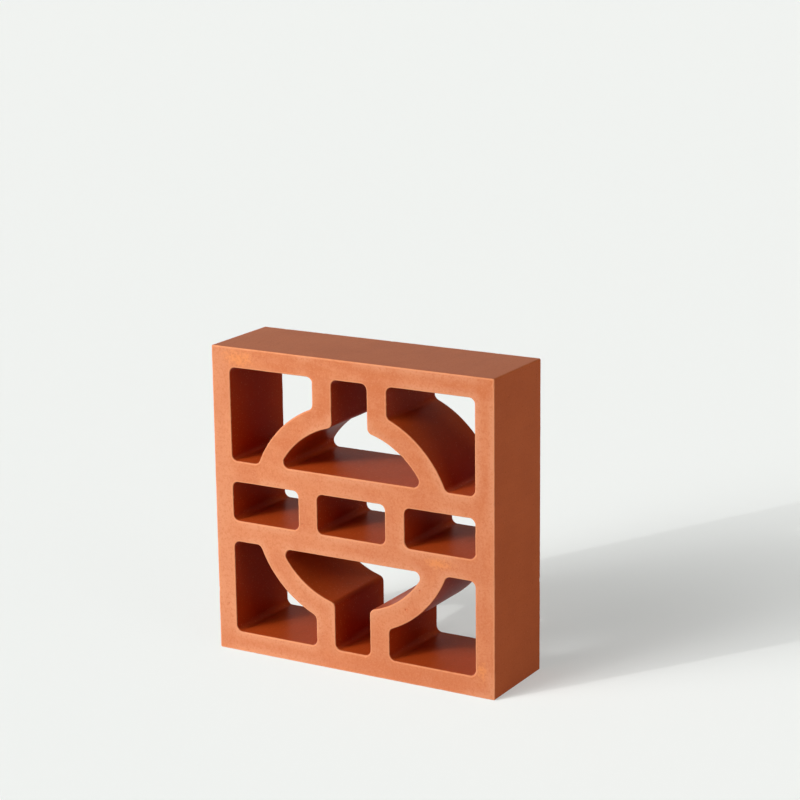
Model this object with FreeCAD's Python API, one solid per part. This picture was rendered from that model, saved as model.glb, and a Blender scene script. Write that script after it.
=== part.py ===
"""Terracotta breeze block: one fired clay piece, pierced from front to back by nine straight cells.

The block stands on its bottom bed face, centred on the origin, with its width along X, its depth along Y
(the front face looks towards -Y) and its height along Z. Lengths are in millimetres.

The pattern is the same when it is turned left to right or top to bottom. Three rectangular cells make the
middle row. A circular ring, centred on the block, is cut across by the two bands that bound this row. Above
and below the bands the ring parts a bell-shaped cell, whose neck runs out between two stems, from two corner
cells. The cells have no taper, their corners are rounded, and every edge of both faces is eased.
"""

import FreeCAD
import Part
import math
import os

# Driving dimensions
BLOCK_WIDTH = 300.0
BLOCK_HEIGHT = 300.0
BLOCK_DEPTH = 91.0
BORDER_WALL = 19.6  # outer walls, all four sides
BAND_WALL = 20.7  # the two horizontal bands beside the middle row
STEM_WALL = 20.6  # the four short stems between ring and border
MIDDLE_RIB_WALL = 20.5  # the two upright ribs in the middle row
RING_WALL = 21.3
RING_TO_BORDER_GAP = 22.2  # from the ring's outside to the nearest border wall
MIDDLE_ROW_HEIGHT = 38.3
NECK_WIDTH = 38.1
MIDDLE_ROW_CELLS = 3
CELL_CORNER_RADIUS = 6.0
LONG_EDGE_RADIUS = 1.5  # the block's four outer edges that run from front to back
FACE_EDGE_RADIUS = 1.0  # all the edges of the front and back faces

# Places that follow from them
INSIDE_HALF_WIDTH = BLOCK_WIDTH / 2 - BORDER_WALL
INSIDE_HALF_HEIGHT = BLOCK_HEIGHT / 2 - BORDER_WALL
RING_CENTRE_Z = BLOCK_HEIGHT / 2
RING_OUTER_RADIUS = min(INSIDE_HALF_WIDTH, INSIDE_HALF_HEIGHT) - RING_TO_BORDER_GAP
RING_INNER_RADIUS = RING_OUTER_RADIUS - RING_WALL
BAND_INNER_Z = MIDDLE_ROW_HEIGHT / 2
BAND_OUTER_Z = BAND_INNER_Z + BAND_WALL
STEM_INNER_X = NECK_WIDTH / 2
STEM_OUTER_X = STEM_INNER_X + STEM_WALL

CUT_MARGIN = 5.0  # how far a cutting solid runs past both faces
FULL_FIT_SHARE = 0.98  # the most of an outline's edge that its two corner roundings may take up
TINY = 1e-4


def bar(x_low, x_high, z_low, z_high):
    """A box through the block's whole depth and past both faces. Its z is counted from the ring's centre."""
    corner = FreeCAD.Vector(x_low, -BLOCK_DEPTH / 2 - CUT_MARGIN, RING_CENTRE_Z + z_low)
    return Part.makeBox(x_high - x_low, BLOCK_DEPTH + 2 * CUT_MARGIN, z_high - z_low, corner)


def disc(radius):
    """A cylinder about the ring's axis, through the block's whole depth and past both faces."""
    start = FreeCAD.Vector(0, -BLOCK_DEPTH / 2 - CUT_MARGIN, RING_CENTRE_Z)
    return Part.makeCylinder(radius, BLOCK_DEPTH + 2 * CUT_MARGIN, start, FreeCAD.Vector(0, 1, 0))


def runs_front_to_back(edge):
    """Whether the edge is a straight one along Y."""
    ends = [vertex.Point for vertex in edge.Vertexes]
    if len(ends) != 2:
        return False
    along = ends[1] - ends[0]
    return math.hypot(along.x, along.z) < TINY


def leaving_direction(edge, corner):
    """The unit direction in which the edge leaves the corner, one of its two ends."""
    first, last = edge.ParameterRange
    starts_here = edge.valueAt(first).distanceToPoint(corner) < TINY
    tangent = edge.tangentAt(first if starts_here else last)
    return tangent if starts_here else tangent * -1


def corner_setback(edge, corner, outline):
    """How much of the edge's end a rounding of radius 1 takes up at this corner of the outline."""
    neighbour = next(
        other
        for other in outline.Edges
        if not other.isSame(edge)
        and any(vertex.Point.distanceToPoint(corner) < TINY for vertex in other.Vertexes)
    )
    angle = leaving_direction(edge, corner).getAngle(leaving_direction(neighbour, corner))
    return 1 / math.tan(angle / 2)


def rounded_prism(prism, radius):
    """The prism with its front-to-back edges rounded, by less than the radius where its outline is tight."""
    outline = min(prism.Faces, key=lambda face: face.CenterOfMass.y).OuterWire
    for edge in outline.Edges:
        setbacks = sum(corner_setback(edge, vertex.Point, outline) for vertex in edge.Vertexes)
        radius = min(radius, FULL_FIT_SHARE * edge.Length / setbacks)
    return prism.makeFillet(radius, [edge for edge in prism.Edges if runs_front_to_back(edge)])


def middle_row_cells():
    """The rectangular cells of the middle row, equally wide."""
    ribs = (MIDDLE_ROW_CELLS - 1) * MIDDLE_RIB_WALL
    width = (2 * INSIDE_HALF_WIDTH - ribs) / MIDDLE_ROW_CELLS
    lows = [-INSIDE_HALF_WIDTH + n * (width + MIDDLE_RIB_WALL) for n in range(MIDDLE_ROW_CELLS)]
    return [bar(low, low + width, -BAND_INNER_Z, BAND_INNER_Z) for low in lows]


def corner_cell():
    """The upper right corner cell: a rectangle between border, band and stem, less the ring."""
    rectangle = bar(STEM_OUTER_X, INSIDE_HALF_WIDTH, BAND_OUTER_Z, INSIDE_HALF_HEIGHT)
    return rectangle.cut(disc(RING_OUTER_RADIUS))


def bell_cell():
    """The upper bell-shaped cell: the ring's inside above the band, with the neck between the stems."""
    above_band = bar(-RING_OUTER_RADIUS, RING_OUTER_RADIUS, BAND_OUTER_Z, RING_OUTER_RADIUS)
    neck = bar(-STEM_INNER_X, STEM_INNER_X, BAND_OUTER_Z, INSIDE_HALF_HEIGHT)
    return disc(RING_INNER_RADIUS).common(above_band).fuse(neck).removeSplitter()


def mirrored(shape, normal):
    """The shape's copy on the other side of the plane through the ring's centre with this normal."""
    return shape.mirror(FreeCAD.Vector(0, 0, RING_CENTRE_Z), normal)


def all_cells():
    """The nine cells, as solids to cut away."""
    across = FreeCAD.Vector(1, 0, 0)
    upright = FreeCAD.Vector(0, 0, 1)
    right_corner = rounded_prism(corner_cell(), CELL_CORNER_RADIUS)
    upper_half = [
        right_corner,
        mirrored(right_corner, across),
        rounded_prism(bell_cell(), CELL_CORNER_RADIUS),
    ]
    lower_half = [mirrored(cell, upright) for cell in upper_half]
    middle_row = [rounded_prism(cell, CELL_CORNER_RADIUS) for cell in middle_row_cells()]
    return upper_half + middle_row + lower_half


def outer_body():
    """The block before its cells are cut, with its front-to-back edges rounded."""
    corner = FreeCAD.Vector(-BLOCK_WIDTH / 2, -BLOCK_DEPTH / 2, 0)
    return rounded_prism(Part.makeBox(BLOCK_WIDTH, BLOCK_DEPTH, BLOCK_HEIGHT, corner), LONG_EDGE_RADIUS)


def lies_in_a_face(edge):
    """Whether the edge lies in the front or the back face."""
    box = edge.BoundBox
    return box.YLength < TINY and abs(abs(box.Center.y) - BLOCK_DEPTH / 2) < TINY


def breeze_block():
    """The finished block."""
    pierced = outer_body().cut(all_cells())
    return pierced.makeFillet(FACE_EDGE_RADIUS, [edge for edge in pierced.Edges if lies_in_a_face(edge)])


def main():
    os.makedirs("parts", exist_ok=True)
    block = breeze_block()
    block.exportStep("parts/breeze_block.step")
    print(f"breeze_block: valid {block.isValid()}, solids {len(block.Solids)}, faces {len(block.Faces)}")
    print(f"volume {block.Volume / 1000:.1f} cm3, box {block.BoundBox}")


main()
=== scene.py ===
"""The looks of the terracotta breeze block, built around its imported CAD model.

Lengths are in metres. The CAD node's own cross-section gives the outlines of the block and of its
cells. The visible piece is swept from them again with finer arrises, which are worn and chipped a
little, and with pitted, slightly uneven faces.
"""
import bisect
import math
import random
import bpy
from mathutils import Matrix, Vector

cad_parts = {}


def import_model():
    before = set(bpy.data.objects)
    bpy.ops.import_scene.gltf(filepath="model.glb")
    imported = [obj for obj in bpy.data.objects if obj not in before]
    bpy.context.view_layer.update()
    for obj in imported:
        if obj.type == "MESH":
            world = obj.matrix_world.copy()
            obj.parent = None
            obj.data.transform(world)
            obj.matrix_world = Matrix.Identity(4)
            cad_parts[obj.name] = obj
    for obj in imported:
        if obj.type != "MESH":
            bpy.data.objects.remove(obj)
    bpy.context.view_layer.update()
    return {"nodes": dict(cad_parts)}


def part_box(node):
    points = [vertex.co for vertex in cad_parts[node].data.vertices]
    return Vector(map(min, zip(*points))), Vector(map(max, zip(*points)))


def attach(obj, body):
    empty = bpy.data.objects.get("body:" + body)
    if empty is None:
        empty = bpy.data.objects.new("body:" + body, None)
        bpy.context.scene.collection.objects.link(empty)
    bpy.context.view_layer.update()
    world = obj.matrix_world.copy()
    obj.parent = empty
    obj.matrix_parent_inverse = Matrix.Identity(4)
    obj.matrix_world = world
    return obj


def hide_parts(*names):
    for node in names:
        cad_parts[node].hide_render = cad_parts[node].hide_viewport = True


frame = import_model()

from types import SimpleNamespace

import bmesh
import bpy
from mathutils import Euler, Vector, kdtree, noise
from mathutils.geometry import delaunay_2d_cdt

NODE = "breeze_block"
cad_low, cad_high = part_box(NODE)
MM = 0.001
SEED = 17

# Outlines
OUTLINE_STEP = 1.35 * MM  # between points along an outline
STRAIGHT_RUN = 10 * MM  # straight stretches are longer than this, and the chords of arcs shorter
COLLINEAR = 0.004 * MM  # a point this near the line through its neighbours isn't a corner
WELD = 0.001 * MM
LEAST_TURN = 0.02  # radians at one point, under which an outline counts as straight there
STRAIGHT_ROOM = 1.0  # the turning radius written down for a straight stretch

# Arrises
ARRIS_STEPS = 4  # facets across one arris
ARRIS_RADIUS = 1.0 * MM
ARRIS_UNEVENNESS = 0.30  # share of the radius
ARRIS_RADIUS_SHARE = 0.7  # the most of the radius at which the outline itself turns
ARRIS_WAVES = (70, 330)  # slow and fast changes of the radius, a metre
FAST_WAVE_SHARE = 0.6
NOISE_PLACE = 0.5  # where along Y, before and behind the block, the two faces' arrises take theirs
CHIPS_PER_FACE = 34
CHIP_HALF_WIDTH = (1.3, 3.2)  # mm, least and most
CHIP_DEPTH = (0.2, 0.75)  # mm, least and most
CHIP_UNEVENNESS = 0.5

# Walls
WALL_ROWS = (1.6, 4.5, 12.0, 26.0)  # rows of wall points, in mm from each face's arris
WALL_UNEVENNESS = 0.05 * MM
WALL_WAVES = (60, 9)  # a metre, around the wall and along the depth
WALL_SWELLS = 28  # a metre
WALL_SETTLE = 4 * MM  # from the arris to where the wall is fully uneven

# Faces
FACE_RINGS = (1.3, 3.4, 6.2)  # rings of face points, in mm from the arris
FULL_RING_WITHIN = 2  # mm from the arris: rings further in have half as many points
RING_MARGIN = 1.1 * MM  # between a ring's points and any edge
FACE_STEP = 5.5 * MM  # between the other face points
FACE_JITTER = 0.3  # share of the step
FACE_MARGIN = 4.4 * MM  # between the other face points and any edge
POINTS_APART = 0.12 * MM
FACE_SWELL = 0.06 * MM
FACE_WAVES = 26  # a metre
SWELL_REACH = 6 * MM  # from an edge to where the swell is full
PITS_PER_FACE = 26
PIT_RADIUS = (0.45, 1.25)  # mm, least and most
PIT_DEPTH = (0.35, 0.8)  # shares of the radius, least and most
PIT_FULLNESS = 0.7  # 0.5 is a half ellipsoid, and more is narrower at the bottom
PIT_MARGIN = 1.6 * MM  # between a pit and any edge
PIT_CLEARANCE = 0.5 * MM  # between a pit and the face points that aren't its own
PIT_RINGS = ((0.4, 7), (0.75, 11), (1.0, 14), (1.3, 14))  # share of the radius, and points
TRIANGLE_TOLERANCE = 1e-9
EDGE_REACH = 14.0 * MM  # how far from an edge its wear is told apart


def smoothstep(low, high, value):
    share = min(max((value - low) / (high - low), 0.0), 1.0)
    return share * share * (3 - 2 * share)


def wave(place, per_metre, offset=(0, 0, 0)):
    """Smooth noise about zero. Different offsets give patterns that have nothing in common."""
    return noise.noise(place * per_metre + Vector(offset))


# ---------------------------------------------------------------- outlines

def section_outlines(node, depth):
    """The closed outlines of the node's section at this depth, as lists of points in (x, z)."""
    cut = bmesh.new()
    cut.from_mesh(node.data)
    bmesh.ops.remove_doubles(cut, verts=cut.verts, dist=WELD)
    bmesh.ops.bisect_plane(
        cut,
        geom=cut.verts[:] + cut.edges[:] + cut.faces[:],
        plane_co=(0, depth, 0),
        plane_no=(0, 1, 0),
        clear_inner=True,
        clear_outer=True,
    )
    place = {v: (round(v.co.x, 7), round(v.co.z, 7)) for v in cut.verts}
    unused = set(cut.verts)
    outlines = []
    while unused:
        start = min(unused, key=place.get)
        outline = [start]
        unused.remove(start)
        while True:
            ends = [edge.other_vert(outline[-1]) for edge in outline[-1].link_edges]
            ends = [end for end in ends if end in unused]
            if not ends:
                break
            outline.append(min(ends, key=place.get))
            unused.remove(outline[-1])
        outlines.append([Vector(place[v]) for v in outline])
    cut.free()
    return outlines


def signed_area(outline):
    """Positive where the outline runs anticlockwise."""
    return sum(a.x * b.y - b.x * a.y for a, b in zip(outline, outline[1:] + outline[:1])) / 2


def without_collinear(outline):
    """The outline without the points that lie on a straight line between their neighbours."""
    kept = []
    for i, point in enumerate(outline):
        before = kept[-1] if kept else outline[i - 1]
        after = outline[(i + 1) % len(outline)]
        along = (after - before).normalized()
        if abs(along.cross(point - before)) > COLLINEAR:
            kept.append(point)
    return kept


def smoothed(outline):
    """The outline with points an even step apart: its chords become arcs again."""
    count = len(outline)
    tangents = []
    for i in range(count):
        before = outline[i] - outline[i - 1]
        after = outline[(i + 1) % count] - outline[i]
        tangents.append((before * before.length + after * after.length).normalized())
    points = []
    for i in range(count):
        a, b = outline[i], outline[(i + 1) % count]
        chord = (b - a).length
        steps = max(1, round(chord / OUTLINE_STEP))
        straight = chord > STRAIGHT_RUN
        for k in range(steps):
            t = k / steps
            if straight:
                points.append(a.lerp(b, t))
                continue
            # A Hermite curve from one point to the next, along both their tangents
            leave, reach = tangents[i] * chord, tangents[(i + 1) % count] * chord
            points.append(
                a * (1 + t * t * (2 * t - 3))
                + leave * (t * (1 - t) ** 2)
                + b * (t * t * (3 - 2 * t))
                + reach * (t * t * (t - 1))
            )
    return points


def material_on_left(outlines):
    """The outlines, the block's own first, each running so that the clay is on its left."""
    ordered = sorted(outlines, key=lambda o: -abs(signed_area(o)))
    turned = []
    for i, outline in enumerate(ordered):
        anticlockwise = signed_area(outline) > 0
        turned.append(outline if anticlockwise == (i == 0) else outline[::-1])
    return turned


class Outline:
    """One closed outline: its points, the block's own or a cell's, and what is known at each point.

    inward is the direction into the clay, room the radius at which the outline turns towards the
    clay, and run the length of outline before the point.
    """

    def __init__(self, points, in_cell):
        self.points = points
        self.in_cell = in_cell
        self.inward = []
        self.room = []
        self.run = [0.0]
        for i, point in enumerate(points):
            following = points[(i + 1) % len(points)]
            arriving, leaving = point - points[i - 1], following - point
            before, after = arriving.normalized(), leaving.normalized()
            along = (before + after).normalized()
            self.inward.append(Vector((-along.y, along.x)))
            turn = math.asin(max(-1.0, min(1.0, before.cross(after))))
            step = (arriving.length + leaving.length) / 2
            self.room.append(step / turn if turn > LEAST_TURN else STRAIGHT_ROOM)
            self.run.append(self.run[-1] + leaving.length)
        self.length = self.run.pop()


# ---------------------------------------------------------------- wear

def outline_chips(outlines, rng):
    """Small chips on one face's arrises: for each outline, (place along it, half width, depth)."""
    total = sum(outline.length for outline in outlines)
    chips = [[] for _ in outlines]
    starts = [0.0]
    for outline in outlines:
        starts.append(starts[-1] + outline.length)
    for _ in range(CHIPS_PER_FACE):
        place = rng.uniform(0, total)
        which = bisect.bisect_right(starts, place) - 1
        half_width = rng.uniform(*CHIP_HALF_WIDTH) * MM
        depth = rng.uniform(*CHIP_DEPTH) * MM
        chips[which].append((place - starts[which], half_width, depth))
    return chips


def arris_radii(outline, chips, side):
    """The arris radius at each point of the outline, uneven and larger at the chips."""
    radii = []
    for point, room, run in zip(outline.points, outline.room, outline.run):
        place = Vector((point.x, side * NOISE_PLACE, point.y))
        slow = wave(place, ARRIS_WAVES[0], (3, 1, 7))
        fast = wave(place, ARRIS_WAVES[1], (9, 4, 2))
        radius = ARRIS_RADIUS * (1 + ARRIS_UNEVENNESS * (slow + FAST_WAVE_SHARE * fast))
        for place_along, half_width, depth in chips:
            away = abs(run - place_along)
            away = min(away, outline.length - away)
            if away < half_width:
                radius += depth * (1 - (away / half_width) ** 2) * (1 + CHIP_UNEVENNESS * fast)
        radii.append(min(radius, ARRIS_RADIUS_SHARE * room))
    return radii


def pit_depth(point, pits):
    """How far the pits lower the face at this point."""
    dent = 0.0
    for centre, radius, depth in pits:
        away = (point - centre).length / radius
        if away < 1:
            dent = max(dent, depth * (1 - away ** 2) ** PIT_FULLNESS)
    return dent


# ---------------------------------------------------------------- the block's mesh

class FaceBorder:
    """The edges of one face: their points in (x, z), and the directions there into the clay."""

    def __init__(self, points, inward):
        self.points, self.inward = points, inward
        self.tree = kdtree.KDTree(len(points))
        for i, point in enumerate(points):
            self.tree.insert((point.x, point.y, 0), i)
        self.tree.balance()

    def distance(self, point):
        return self.tree.find((point.x, point.y, 0))[2]

    def encloses(self, point, margin=0.0):
        """Whether the point lies in the clay and further than this from its edges."""
        _, nearest, away = self.tree.find((point.x, point.y, 0))
        return away > margin and (point - self.points[nearest]).dot(self.inward[nearest]) > 0


class BlockMesh:
    """The swept block: the arrises and walls of every outline, and the two pierced faces.

    Here "into" is 1 for the front face and -1 for the back one: the way along Y into the block.
    """

    def __init__(self, outlines, low, high):
        self.outlines = outlines
        self.low, self.high = low, high
        self.verts = []
        self.edge_nearness = []
        self.in_cell = []
        self.faces = []
        self.rng = random.Random(SEED)

    def add(self, place, from_edge, in_cell=0.0):
        self.verts.append(place)
        self.edge_nearness.append(max(0.0, 1 - from_edge / EDGE_REACH))
        self.in_cell.append(in_cell)
        return len(self.verts) - 1

    def arris_point(self, outline, i, radius, angle, face_y, into):
        point, inward = outline.points[i], outline.inward[i]
        inset = radius * (1 - math.cos(angle))
        y = face_y + into * radius * (1 - math.sin(angle))
        place = Vector((point.x + inward.x * inset, y, point.y + inward.y * inset))
        return self.add(place, 0.0, outline.in_cell)

    def wall_point(self, outline, i, y, from_arris):
        """A point of the wall at this depth, a little uneven, as wire-cut clay is."""
        point, inward = outline.points[i], outline.inward[i]
        flat = Vector((point.x, y, point.y))
        around, along = WALL_WAVES
        drawn_out = noise.noise(Vector((point.x * around, y * along, point.y * around)))
        swell = wave(flat, WALL_SWELLS, (5, 5, 5))
        uneven = WALL_UNEVENNESS * drawn_out + WALL_UNEVENNESS * swell
        place = flat + Vector((inward.x, 0, inward.y)) * (WALL_UNEVENNESS + uneven)
        settled = smoothstep(0, WALL_SETTLE, from_arris)
        return self.add(flat.lerp(place, settled), from_arris, outline.in_cell)

    def sweep(self, outline, front_radii, back_radii):
        """The arrises and the wall of one outline. Returns its rings in the two faces' planes."""
        halves = []
        points = range(len(outline.points))
        ends = ((front_radii, self.low.y, 1), (back_radii, self.high.y, -1))
        for radii, face_y, into in ends:
            rings = []
            for k in range(ARRIS_STEPS, 0, -1):
                angle = k / ARRIS_STEPS * math.pi / 2
                rings.append([
                    self.arris_point(outline, i, radii[i], angle, face_y, into) for i in points
                ])
            for row in (0.0,) + WALL_ROWS:
                rings.append([
                    self.wall_point(outline, i, face_y + into * (radii[i] + row * MM), row * MM)
                    for i in points
                ])
            halves.append(rings)
        ordered = halves[0] + halves[1][::-1]
        for near, far in zip(ordered, ordered[1:]):
            for i in points:
                j = (i + 1) % len(points)
                self.faces.append((near[i], near[j], far[j], far[i]))
        return ordered[0], ordered[-1]

    def pits(self, border):
        """Small round pits of one face, clear of its edges: (centre, radius, depth)."""
        found = []
        while len(found) < PITS_PER_FACE:
            x = self.rng.uniform(self.low.x, self.high.x)
            z = self.rng.uniform(self.low.z, self.high.z)
            centre = Vector((x, z))
            radius = self.rng.uniform(*PIT_RADIUS) * MM
            if border.encloses(centre, radius + PIT_MARGIN):
                found.append((centre, radius, radius * self.rng.uniform(*PIT_DEPTH)))
        return found

    def in_plan(self, vertex):
        return Vector((self.verts[vertex].x, self.verts[vertex].z))

    def ring_points(self, end_rings, border):
        """Face points in rings along the edges."""
        points = []
        for distance in FACE_RINGS:
            every = 1 if distance < FULL_RING_WITHIN else 2
            for ring, outline in zip(end_rings, self.outlines):
                for vertex, inward in zip(ring[::every], outline.inward[::every]):
                    points.append(self.in_plan(vertex) + inward * distance * MM)
        return [point for point in points if border.encloses(point, RING_MARGIN)]

    def grid_points(self, border):
        """Face points away from the edges, in a grid with a little disorder."""
        points = []
        corner = Vector((self.low.x, self.low.z))
        for column in range(int((self.high.x - self.low.x) / FACE_STEP)):
            for row in range(int((self.high.z - self.low.z) / FACE_STEP)):
                across = self.rng.uniform(-FACE_JITTER, FACE_JITTER)
                up = self.rng.uniform(-FACE_JITTER, FACE_JITTER)
                steps = Vector((column + 0.5, row + 0.5)) + Vector((across, up))
                point = corner + steps * FACE_STEP
                if border.encloses(point, FACE_MARGIN):
                    points.append(point)
        return points

    def face(self, end_rings, face_y, into):
        """One pierced face between the sweeps' end rings, pitted and slightly uneven."""
        coords, indices, constraints = [], [], []
        for ring in end_rings:
            first, count = len(coords), len(ring)
            coords += [self.in_plan(vertex) for vertex in ring]
            indices += ring
            constraints += [(first + i, first + (i + 1) % count) for i in range(count)]
        inward = [way for outline in self.outlines for way in outline.inward]
        border = FaceBorder(coords[:], inward)

        pits = self.pits(border)
        points = [
            point
            for point in self.ring_points(end_rings, border) + self.grid_points(border)
            if all((point - centre).length > radius + PIT_CLEARANCE for centre, radius, _ in pits)
        ]
        for centre, radius, _ in pits:
            points.append(centre)
            points += pit_points(centre, radius)
        for point in apart(points, POINTS_APART):
            from_edge = border.distance(point)
            swell = FACE_SWELL * (1 + wave(Vector((point.x, face_y, point.y)), FACE_WAVES))
            lift = pit_depth(point, pits) + swell * smoothstep(0, SWELL_REACH, from_edge)
            place = Vector((point.x, face_y + into * lift, point.y))
            coords.append(point)
            indices.append(self.add(place, from_edge))

        filled = delaunay_2d_cdt(coords, constraints, [], 0, TRIANGLE_TOLERANCE)
        corners, _, triangles, sources, _, _ = filled
        for triangle in triangles:
            centre = sum((corners[i] for i in triangle), Vector((0, 0))) / len(triangle)
            if border.encloses(centre):
                turned = [indices[sources[i][0]] for i in triangle]
                self.faces.append(turned if into > 0 else turned[::-1])

    def build(self):
        front_chips = outline_chips(self.outlines, self.rng)
        back_chips = outline_chips(self.outlines, self.rng)
        fronts, backs = [], []
        for outline, in_front, behind in zip(self.outlines, front_chips, back_chips):
            front_radii = arris_radii(outline, in_front, -1)
            back_radii = arris_radii(outline, behind, 1)
            near, far = self.sweep(outline, front_radii, back_radii)
            fronts.append(near)
            backs.append(far)
        self.face(fronts, self.low.y, 1)
        self.face(backs, self.high.y, -1)
        mesh = bpy.data.meshes.new("terracotta_block")
        mesh.from_pydata([tuple(v) for v in self.verts], [], self.faces)
        attributes = {"edge_nearness": self.edge_nearness, "in_cell": self.in_cell}
        for name, values in attributes.items():
            attribute = mesh.attributes.new(name, "FLOAT", "POINT")
            attribute.data.foreach_set("value", [float(value) for value in values])
        turned = bmesh.new()
        turned.from_mesh(mesh)
        bmesh.ops.recalc_face_normals(turned, faces=turned.faces)
        turned.to_mesh(mesh)
        turned.free()
        mesh.shade_smooth()
        return mesh


def pit_points(centre, radius):
    """Points in rings about a pit's centre."""
    points = []
    for share, spokes in PIT_RINGS:
        for spoke in range(spokes):
            angle = math.tau * (spoke + share) / spokes
            way = Vector((math.cos(angle), math.sin(angle)))
            points.append(centre + way * radius * share)
    return points


def apart(points, least):
    """The points without those nearer than this to one kept before them."""
    kept, cells = [], {}
    for point in points:
        cell = (math.floor(point.x / least), math.floor(point.y / least))
        near = [
            other
            for dx in (-1, 0, 1)
            for dy in (-1, 0, 1)
            for other in cells.get((cell[0] + dx, cell[1] + dy), [])
        ]
        if all((point - other).length > least for other in near):
            kept.append(point)
            cells.setdefault(cell, []).append(point)
    return kept


# ---------------------------------------------------------------- materials

MIX_FACTOR, MIX_A, MIX_B, MIX_RESULT = 0, 6, 7, 2  # a Mix node's sockets for colours
NOISE_MIDDLE = 0.5


class Nodes:
    """Short ways to add and link shader nodes. A value is a number, a colour or a node's output."""

    def __init__(self, tree):
        self.tree = tree
        tree.nodes.clear()

    def add(self, kind, inputs=None, **settings):
        node = self.tree.nodes.new(kind)
        for key, value in settings.items():
            setattr(node, key, value)
        for key, value in (inputs or {}).items():
            if isinstance(value, bpy.types.NodeSocket):
                self.tree.links.new(value, node.inputs[key])
            else:
                node.inputs[key].default_value = value
        return node

    def math(self, operation, a, b=0.0, c=0.0):
        return self.add("ShaderNodeMath", {0: a, 1: b, 2: c}, operation=operation).outputs[0]

    def vectors(self, operation, a, b=(0, 0, 0)):
        node = self.add("ShaderNodeVectorMath", {0: a, 1: b}, operation=operation)
        return node.outputs["Value" if operation in ("LENGTH", "DOT_PRODUCT") else "Vector"]

    def ramp(self, value, low, high, to_low=0.0, to_high=1.0):
        """The value taken smoothly from one range to another. Either range may run downwards."""
        inputs = {"Value": value, 1: low, 2: high, 3: to_low, 4: to_high}
        return self.add("ShaderNodeMapRange", inputs, interpolation_type="SMOOTHSTEP").outputs[0]

    def noise(self, vector, scale, detail=2.0, roughness=0.5):
        inputs = {"Vector": vector, "Scale": scale, "Detail": detail, "Roughness": roughness}
        return self.add("ShaderNodeTexNoise", inputs).outputs[0]

    def stretched(self, vector, turn, scale):
        """The vector turned about Y by this many degrees and then scaled along each axis."""
        inputs = {"Vector": vector, "Rotation": (0, math.radians(turn), 0)}
        turned = self.add("ShaderNodeMapping", inputs, vector_type="TEXTURE").outputs[0]
        return self.add("ShaderNodeMapping", {"Vector": turned, "Scale": scale}).outputs[0]

    def mix(self, factor, a, b):
        """Colour a where the factor is 0, and colour b where it is 1."""
        inputs = {MIX_FACTOR: factor, MIX_A: a, MIX_B: b}
        return self.add("ShaderNodeMix", inputs, data_type="RGBA").outputs[MIX_RESULT]

    def layered(self, colour, *layers):
        """The colour under soft layers: (value, where a layer starts, where it is full, how much
        of it shows there, its colour)."""
        for value, start, full, most, over in layers:
            colour = self.mix(self.ramp(value, start, full, to_high=most), colour, over)
        return colour


FACE_CLAY = (0.770, 0.258, 0.110, 1)  # the cut faces
FACE_BROWN = (0.690, 0.200, 0.079, 1)
FACE_PALE = (0.830, 0.345, 0.182, 1)
FACE_ORANGE = (0.950, 0.350, 0.110, 1)
ARRIS_HIGHLIGHT = (0.980, 0.410, 0.200, 1)  # painted highlight along the arrises
SIDE_CLAY = (0.590, 0.128, 0.036, 1)  # the outer walls
TOP_SHEEN_CLAY = (0.550, 0.150, 0.050, 1)  # the tops: greyer, a painted sheen of the pale backdrop
# painted shade: the cells' walls darker and deeper than the outer walls
CELL_SHADE_CLAY = (0.440, 0.041, 0.004, 1)
CELL_LIT_FLOOR_CLAY = (0.570, 0.080, 0.012, 1)  # the cells' floors: the lit copy of the cells' clay, lighter than the painted shade on their walls
IRON_AND_SHADE = (0.300, 0.050, 0.012, 1)  # darker clay and its specks, and also painted shade towards the right and towards the bottom of the outer walls

FACE_ROUGHNESS = 0.74
WALL_ROUGHNESS = 0.32
MOTTLE_ROUGHNESS = 0.10  # added where the mottle is full
CLAY_IOR = 1.09  # a faint sheen: the clay is unglazed
RELIEF_DEPTH = 0.12 * MM
RELIEF_STRENGTH = 0.5
WALL_RELIEF = 0.25  # share of the faces' relief

# Orange flashes of the kiln on the front face: place from the lower left corner in shares of the
# width and height, and reach across and up in mm
FLASHES = ((0.098, 0.966, 19, 8), (0.810, 0.405, 15, 6), (0.957, 0.085, 6, 10))
FLASH_STRENGTH = 0.62
FLASH_RAGGEDNESS = 2.6
FLASH_RANGE = (0.1, 1.15)  # from full to none, in shares of the reach
BORDER_RANGE = (0.85, 0.89)  # shares of the half width: beyond, the face is wiped up and down
FACING_RANGE = (0.20, 0.60)  # how much of the normal is along Y, from a wall to a face
UPWARD_RANGE = (0.30, 0.90)  # how much of it is upward, from a wall to a floor or the top


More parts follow.
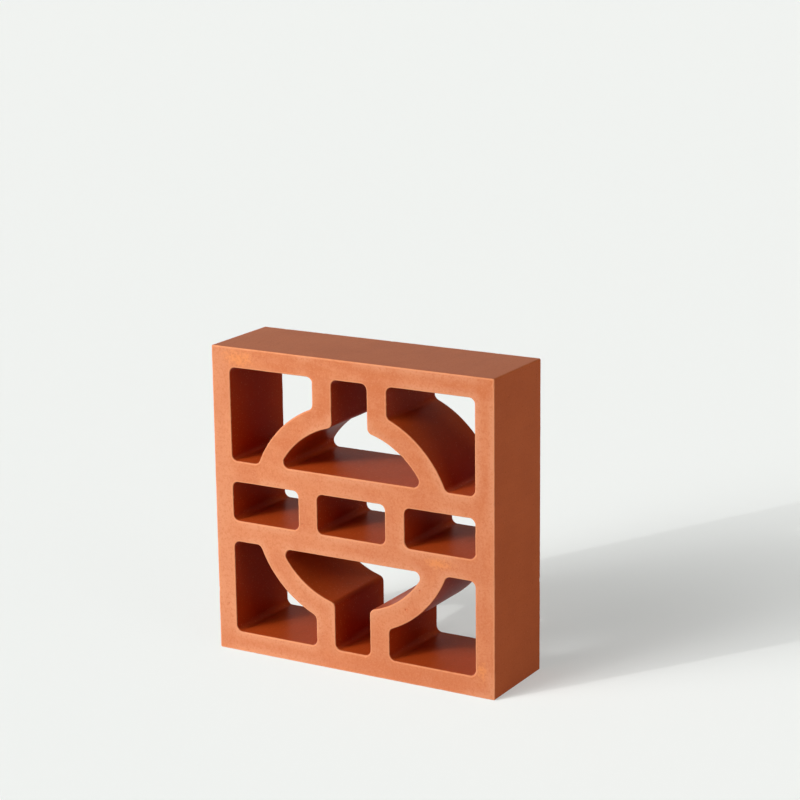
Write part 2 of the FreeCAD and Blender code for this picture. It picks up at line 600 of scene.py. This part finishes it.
def clay_patterns(n):
    """The marks, places and noises that the clay's colours and relief are made from."""
    coordinates = n.add("ShaderNodeTexCoord")
    place = coordinates.outputs["Object"]
    across, _, up = n.add("ShaderNodeSeparateXYZ", {0: place}).outputs
    normal = coordinates.outputs["Normal"]
    _, facing, upward = n.add("ShaderNodeSeparateXYZ", {0: normal}).outputs
    half_width = (cad_high.x - cad_low.x) / 2
    start, full = (share * half_width for share in BORDER_RANGE)
    border = n.ramp(n.math("ABSOLUTE", across), start, full)
    along_bands = n.stretched(place, turn=7.0, scale=(22, 22, 110))
    along_sides = n.stretched(place, turn=3.0, scale=(120, 22, 20))
    along_depth = n.stretched(place, turn=0.0, scale=(150, 12, 150))
    wiped_across = n.noise(along_bands, scale=1.0, detail=4.0, roughness=0.6)
    wiped_upright = n.noise(along_sides, scale=1.0, detail=4.0, roughness=0.6)
    turned = n.math("MULTIPLY", border, n.math("SUBTRACT", wiped_upright, wiped_across))
    return SimpleNamespace(
        place=place,
        across=across,
        up=up,
        half_width=half_width,
        height=cad_high.z - cad_low.z,
        cut_face=n.ramp(n.math("ABSOLUTE", facing), *FACING_RANGE),
        upward=n.ramp(upward, *UPWARD_RANGE),
        nearness=n.add("ShaderNodeAttribute", attribute_name="edge_nearness").outputs["Fac"],
        in_cell=n.add("ShaderNodeAttribute", attribute_name="in_cell").outputs["Fac"],
        smears=n.math("ADD", wiped_across, turned),
        drag=n.noise(along_depth, scale=1.0, detail=3.0, roughness=0.6),  # left by the die
        worn=n.noise(place, scale=13.0, detail=2.0, roughness=0.5),
        patches=n.noise(place, scale=26.0, detail=3.0, roughness=0.55),
        mottle=n.noise(place, scale=240.0, detail=4.0, roughness=0.65),
        sand=n.noise(place, scale=480.0, detail=2.0, roughness=0.7),
        specks=n.noise(place, scale=560.0, detail=1.0),
        grain=n.noise(place, scale=900.0, detail=3.0, roughness=0.65),
    )


def kiln_flash(n, at, across, up, reach, rise):
    """A soft, ragged spot on the front face."""
    size = cad_high - cad_low
    centre = cad_low + Vector((across * size.x, 0, up * size.z))
    spread = (1 / (reach * MM), 1 / (rise * MM), 1 / (rise * MM))
    off = n.vectors("MULTIPLY", n.vectors("SUBTRACT", at.place, centre), spread)
    uneven = n.math("MULTIPLY", n.math("SUBTRACT", at.mottle, NOISE_MIDDLE), FLASH_RAGGEDNESS)
    away = n.math("ADD", n.vectors("LENGTH", off), uneven)
    return n.ramp(away, *FLASH_RANGE, to_low=FLASH_STRENGTH, to_high=0.0)


def face_colour(n, at):
    """The cut faces: pale and dry, with patches, smears, kiln flashes and a painted highlight on
    the arrises.
    """
    face = n.layered(
        FACE_CLAY,
        (at.patches, 0.42, 0.62, 0.85, FACE_BROWN),
        (at.smears, 0.40, 0.70, 0.30, FACE_PALE),
        (at.across, -0.80 * at.half_width, -0.95 * at.half_width, 0.45, FACE_PALE),  # left border
        (at.up, 0.85 * at.height, 0.45 * at.height, 0.26, FACE_PALE),  # lower half
        (at.up, 0.09 * at.height, 0.03 * at.height, 0.38, FACE_BROWN),  # bottom border
    )
    near_edges = n.ramp(at.nearness, 0.35, 0.95)
    halo = n.math("MULTIPLY", near_edges, n.ramp(at.worn, 0.56, 0.44, 0.05, 0.90))
    face = n.mix(halo, face, FACE_PALE)
    for flash in FLASHES:
        face = n.mix(kiln_flash(n, at, *flash), face, FACE_ORANGE)
    face = n.layered(
        face,
        (at.mottle, 0.46, 0.66, 0.42, FACE_BROWN),
        (at.sand, 0.50, 0.72, 0.36, FACE_BROWN),
        (at.sand, 0.48, 0.28, 0.32, FACE_PALE),
        (at.grain, 0.50, 0.70, 0.35, FACE_PALE),
    )
    # painted highlight: a thin paler line along the arrises, uneven with the mottle
    on_arris = n.ramp(at.nearness, 0.93, 1.0)
    arris_highlight = n.math("MULTIPLY", on_arris, n.ramp(at.mottle, 0.30, 0.60, 0.20, 0.65))
    return n.mix(arris_highlight, face, ARRIS_HIGHLIGHT)


def wall_colour(n, at):
    """The outer and cell walls: deeper, with a painted sheen on top, painted shade in the cells and
    towards the bottom of the outer walls, lighter cell floors, fine sand and a few specks.
    """
    # painted sheen: the tops greyer than the sides
    outside = n.mix(at.upward, SIDE_CLAY, TOP_SHEEN_CLAY)
    # painted shade: the outer walls darker towards the bottom
    outside = n.layered(outside, (at.up, 0.60 * at.height, 0.0, 0.12, IRON_AND_SHADE))
    # painted shade inside the cells
    wall = n.mix(at.in_cell, outside, CELL_SHADE_CLAY)
    # painted light: the cells' floors lighter than their walls
    wall = n.mix(n.math("MULTIPLY", at.in_cell, at.upward), wall, CELL_LIT_FLOOR_CLAY)
    wall = n.layered(
        wall,
        (at.patches, 0.35, 0.70, 0.14, IRON_AND_SHADE),
        (at.drag, 0.40, 0.70, 0.06, IRON_AND_SHADE),
        (at.sand, 0.52, 0.72, 0.20, IRON_AND_SHADE),
        (at.specks, 0.67, 0.71, 0.40, FACE_BROWN),
        (at.specks, 0.31, 0.27, 0.60, IRON_AND_SHADE),
    )
    near_arris = n.ramp(at.nearness, 0.90, 1.0)
    edge = n.math("MULTIPLY", near_arris, n.ramp(at.mottle, 0.35, 0.65, 0.05, 0.40))
    return n.mix(edge, wall, FACE_CLAY)


def clay_material():
    """Fired clay: the cut faces are dry and grainy, and the extruded walls smoother and satin."""
    material = bpy.data.materials.new("fired_clay_worn")
    material.use_nodes = True
    n = Nodes(material.node_tree)
    at = clay_patterns(n)
    clay = n.mix(at.cut_face, wall_colour(n, at), face_colour(n, at))
    # painted shade: the whole block a little darker towards the right, where the key light falls
    # off
    clay = n.layered(clay, (at.across, -at.half_width, at.half_width, 0.16, IRON_AND_SHADE))
    smooth = n.ramp(at.cut_face, 0.0, 1.0, WALL_ROUGHNESS, FACE_ROUGHNESS)
    rough = n.math("ADD", smooth, n.math("MULTIPLY", at.mottle, MOTTLE_ROUGHNESS))
    share = n.ramp(at.cut_face, 0.0, 1.0, WALL_RELIEF, 1.0)
    relief = n.math("MULTIPLY", n.math("SUBTRACT", at.grain, NOISE_MIDDLE), share)
    bump = {"Strength": RELIEF_STRENGTH, "Distance": RELIEF_DEPTH, "Height": relief}
    inputs = {
        "Base Color": clay,
        "Roughness": rough,
        "IOR": CLAY_IOR,
        "Normal": n.add("ShaderNodeBump", bump).outputs[0],
    }
    shader = n.add("ShaderNodeBsdfPrincipled", inputs)
    n.add("ShaderNodeOutputMaterial", {"Surface": shader.outputs[0]})
    return material


# ---------------------------------------------------------------- stage, light and camera

PALE = (0.871, 0.887, 0.863, 1)  # the backdrop
FLOOR_PAINT = (0.522, 0.535, 0.522, 1)
FLOOR_BOUNCE = (0.53, 0.54, 0.53, 1)  # what the floor gives back to the block
FLOOR_TILT = 40.0  # the seen floor is shaded as if its face were tipped this far to the key light
FLOOR_SIZE = 60.0
FLOOR_LIFT = 0.458  # the plain pale share of the floor's look, so that shadows on it stay light

AMBIENT = 0.075  # the dim room all round
# Far-off panels. A heading is that of the light over the floor, from +Y towards +X. The other
# angles are as seen from the block, in degrees, and the edge is how softly a panel ends.
KEY = {"heading": 29, "elevation": 22.5, "across": 24, "up": 14, "edge": 14, "level": 14.6}
SCRIM = {"heading": 29, "elevation": 32, "across": 50, "up": 36, "edge": 12, "level": 2.4}
CARD = {"heading": -90, "elevation": 15, "across": 60, "up": 60, "edge": 10, "level": 1.45}
# A small lamp in front of the key panel, which draws the shadow's crisp borders
BULB_HEADING = 30.2
BULB_ELEVATION = 22.5
BULB_DISTANCE = 2.7  # from the block's middle
BULB_RADIUS = 0.008
BULB_LIGHT = 0.70  # on a surface square to it, at the block's middle

CAMERA_PLACE = (3.573, -5.963, 2.586)  # in block widths from the middle of the base
CAMERA_HEADING = 30.27  # degrees from +Y towards -X
CAMERA_PITCH = 14.064  # degrees down
CAMERA_ROLL = 0.676
CAMERA_LENS = 104.24  # mm
CAMERA_SENSOR = 36.0  # mm
CAMERA_CLIP = 200.0


def seen_not_lit(n):
    """1 where the camera, a reflection or a refraction sees a surface, and 0 for other rays."""
    path = n.add("ShaderNodeLightPath")
    seen = n.math("MAXIMUM", path.outputs["Is Camera Ray"], path.outputs["Is Glossy Ray"])
    return n.math("MAXIMUM", seen, path.outputs["Is Transmission Ray"])


def bulb_place():
    turn = Euler((math.radians(90 - BULB_ELEVATION), 0, math.radians(-BULB_HEADING)), "XYZ")
    return (cad_low + cad_high) / 2 + turn.to_matrix() @ Vector((0, 0, BULB_DISTANCE))


def bulb():
    data = bpy.data.lights.new("key_bulb", "POINT")
    data.shadow_soft_size = BULB_RADIUS
    data.energy = 4 * math.pi * BULB_LIGHT * BULB_DISTANCE ** 2
    lamp = bpy.data.objects.new("key_bulb", data)
    lamp.location = bulb_place()
    bpy.context.scene.collection.objects.link(lamp)


def even_level(n, tipped, foot):
    """How brightly the floor's plain share shines to make up for the bulb's uneven light.

    It is FLOOR_LIFT at the block's foot, and more where the bulb lights the floor less.
    """
    bulb_at = bulb_place()
    to_bulb = bulb_at - foot
    strength = BULB_LIGHT / math.pi * FLOOR_PAINT[1] / PALE[1] * BULB_DISTANCE ** 2
    at_foot = strength * tipped.dot(to_bulb) / to_bulb.length ** 3
    ground = n.add("ShaderNodeNewGeometry").outputs["Position"]
    way = n.vectors("SUBTRACT", bulb_at, ground)
    facing = n.math("MAXIMUM", n.vectors("DOT_PRODUCT", way, tipped), 0.0)
    lit = n.math("DIVIDE", facing, n.math("POWER", n.vectors("LENGTH", way), 3.0))
    return n.math("ADD", n.math("MULTIPLY", lit, -strength), FLOOR_LIFT + at_foot)


def floor_material(foot):
    """Pale paint. Shaded as if it were tipped to the key light, the floor that is seen shows the
    shadow, and not the warm light that the block throws back at it."""
    material = bpy.data.materials.new("studio_floor")
    material.use_nodes = True
    n = Nodes(material.node_tree)
    tilt, heading = math.radians(FLOOR_TILT), math.radians(KEY["heading"])
    sideways = -math.sin(tilt)
    tipped = Vector((sideways * math.sin(heading), sideways * math.cos(heading), math.cos(tilt)))
    normal = n.add("ShaderNodeCombineXYZ", dict(enumerate(tipped))).outputs[0]
    paint = n.add("ShaderNodeBsdfDiffuse", {"Color": FLOOR_PAINT, "Normal": normal})
    level = even_level(n, tipped, foot)
    lift = n.add("ShaderNodeEmission", {"Color": PALE, "Strength": level})
    seen = n.add("ShaderNodeAddShader", {0: paint.outputs[0], 1: lift.outputs[0]})
    unseen = n.add("ShaderNodeBsdfDiffuse", {"Color": FLOOR_BOUNCE})
    either = {0: seen_not_lit(n), 1: unseen.outputs[0], 2: seen.outputs[0]}
    choice = n.add("ShaderNodeMixShader", either)
    n.add("ShaderNodeOutputMaterial", {"Surface": choice.outputs[0]})
    return material


def floor():
    mesh = bpy.data.meshes.new("floor")
    half = FLOOR_SIZE / 2
    z = cad_low.z
    corners = [(-half, -half, z), (half, -half, z), (half, half, z), (-half, half, z)]
    mesh.from_pydata(corners, [], [(0, 1, 2, 3)])
    mesh.materials.append(floor_material(Vector((0, 0, z))))
    piece = bpy.data.objects.new("floor", mesh)
    bpy.context.scene.collection.objects.link(piece)


def panel(n, heading, elevation, settings):
    """The light of one far-off panel, seen from the block in this direction."""
    level = settings["level"]
    sides = ((heading, "heading", "across"), (elevation, "elevation", "up"))
    for angle, middle, span in sides:
        off = n.math("SUBTRACT", angle, math.radians(settings[middle]))
        half, edge = math.radians(settings[span] / 2), math.radians(settings["edge"] / 2)
        share = n.ramp(n.math("ABSOLUTE", off), half - edge, half + edge, 1.0, 0.0)
        level = n.math("MULTIPLY", share, level)
    return level


def world():
    """A dim room with three far-off panels lights the block. What is seen is the pale backdrop."""
    studio = bpy.data.worlds.new("studio")
    bpy.context.scene.world = studio
    studio.use_nodes = True
    n = Nodes(studio.node_tree)
    way = n.add("ShaderNodeTexCoord").outputs["Generated"]
    x, y, z = n.add("ShaderNodeSeparateXYZ", {0: way}).outputs
    heading = n.math("ARCTAN2", n.math("MULTIPLY", x, -1.0), n.math("MULTIPLY", y, -1.0))
    elevation = n.math("ARCSINE", z)
    level = AMBIENT
    for settings in (KEY, SCRIM, CARD):
        level = n.math("ADD", panel(n, heading, elevation, settings), level)
    room = n.add("ShaderNodeBackground", {"Color": (1, 1, 1, 1), "Strength": level})
    backdrop = n.add("ShaderNodeBackground", {"Color": PALE, "Strength": 1.0})
    either = {0: seen_not_lit(n), 1: room.outputs[0], 2: backdrop.outputs[0]}
    choice = n.add("ShaderNodeMixShader", either)
    n.add("ShaderNodeOutputWorld", {"Surface": choice.outputs[0]})


def camera():
    data = bpy.data.cameras.new("camera")
    data.sensor_width = CAMERA_SENSOR
    data.lens = CAMERA_LENS
    data.clip_end = CAMERA_CLIP
    eye = bpy.data.objects.new("camera", data)
    width = cad_high.x - cad_low.x
    middle = (cad_low + cad_high) / 2
    middle.z = cad_low.z
    eye.location = middle + Vector(CAMERA_PLACE) * width
    eye.rotation_mode = "XYZ"
    look = Euler((math.radians(90 - CAMERA_PITCH), 0, math.radians(CAMERA_HEADING)), "XYZ")
    roll = Euler((0, 0, math.radians(-CAMERA_ROLL)), "XYZ")
    eye.rotation_euler = (look.to_matrix() @ roll.to_matrix()).to_euler("XYZ")
    bpy.context.scene.collection.objects.link(eye)
    bpy.context.scene.camera = eye


# ---------------------------------------------------------------- the scene

def block():
    node = frame["nodes"][NODE]
    middle = (cad_low.y + cad_high.y) / 2
    sections = [without_collinear(outline) for outline in section_outlines(node, middle)]
    outlines = [
        Outline(smoothed(section), in_cell=i > 0)
        for i, section in enumerate(material_on_left(sections))
    ]
    mesh = BlockMesh(outlines, cad_low, cad_high).build()
    piece = bpy.data.objects.new("terracotta_block", mesh)
    bpy.context.scene.collection.objects.link(piece)
    mesh.materials.append(clay_material())
    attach(piece, "root")
    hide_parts(NODE)


camera()
floor()
world()
bulb()
block()

bpy.context.scene.view_settings.view_transform = "Standard"
